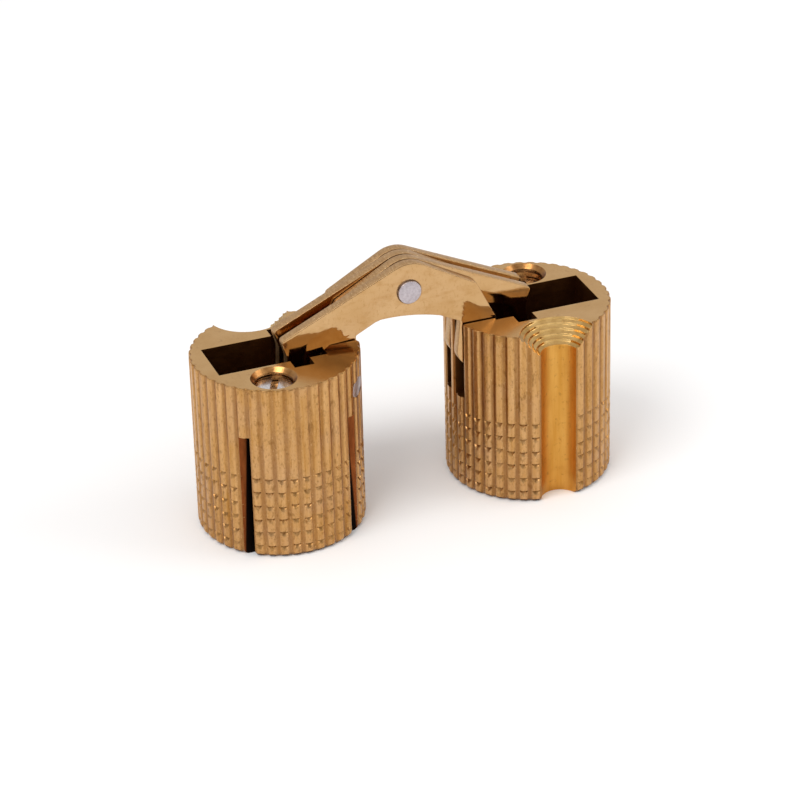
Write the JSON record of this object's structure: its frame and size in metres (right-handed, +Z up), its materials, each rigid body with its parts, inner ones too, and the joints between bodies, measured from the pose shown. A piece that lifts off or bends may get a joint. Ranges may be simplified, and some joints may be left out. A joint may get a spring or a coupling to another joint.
{
  "type": "invisible barrel hinge",
  "caption": "Concealed brass barrel hinge: fluted barrels for drilled holes, joined by a pack of folding link plates that let two panels swing from flush to face to face.",
  "frame": {"origin": "midway between the barrels' axes, on the plane of their flat lower ends", "axes": "+Z up along the barrels towards the links, +X from the left barrel to the right one, +Y to the back"},
  "size_m": [0.0362, 0.014, 0.0219],
  "materials": {
    "barrel_brass": "machined, worn",
    "plate_brass": "polished faces, sheared edges",
    "pin_steel": "ground",
    "screw_steel": "zinc plated"
  },
  "bodies": {
    "left_side": {"left_barrel": "barrel_brass", "left_pivot_pin": "pin_steel"},
    "link_b": {"link_plate_2": "plate_brass", "link_plate_4": "plate_brass", "right_slider_pin": "pin_steel"},
    "link_a": {"link_plate_1": "plate_brass", "link_plate_3": "plate_brass", "left_slider_pin": "pin_steel", "centre_pin": "pin_steel"},
    "right_side": {"right_barrel": "barrel_brass", "right_pivot_pin": "pin_steel"},
    "left_screw": {"left_clamp_screw": "screw_steel"},
    "right_screw": {"right_clamp_screw": "screw_steel"}
  },
  "joints": [
    {"name": "left_pivot", "type": "hinge", "parent": "left_side", "child": "link_b", "pos_m": [-0.0055, 0, 0.0129], "axis": [0, -1, 0], "range_deg": [0, 111.47]},
    {"name": "centre_pivot", "type": "hinge", "parent": "link_b", "child": "link_a", "pos_m": [0, 0, 0.01937], "axis": [0, -1, 0], "range_deg": [-42.96, 0]},
    {"name": "right_pivot", "type": "hinge", "parent": "link_a", "child": "right_side", "pos_m": [0.0055, 0, 0.0129], "axis": [0, -1, 0], "range_deg": [0, 111.47]},
    {"name": "left_screw_turn", "type": "hinge", "parent": "left_side", "child": "left_screw", "pos_m": [-0.0127, -0.00445, 0.0125], "axis": [0, 0, 1], "range_deg": [-360, 360]},
    {"name": "right_screw_turn", "type": "hinge", "parent": "right_side", "child": "right_screw", "pos_m": [0.0127, 0.00445, 0.0125], "axis": [0, 0, 1], "range_deg": [-360, 360]}
  ],
  "couplings": [
    {"joint": "centre_pivot", "follows": "right_pivot", "ratio": -0.38524},
    {"joint": "left_pivot", "follows": "right_pivot", "ratio": 1}
  ]
}
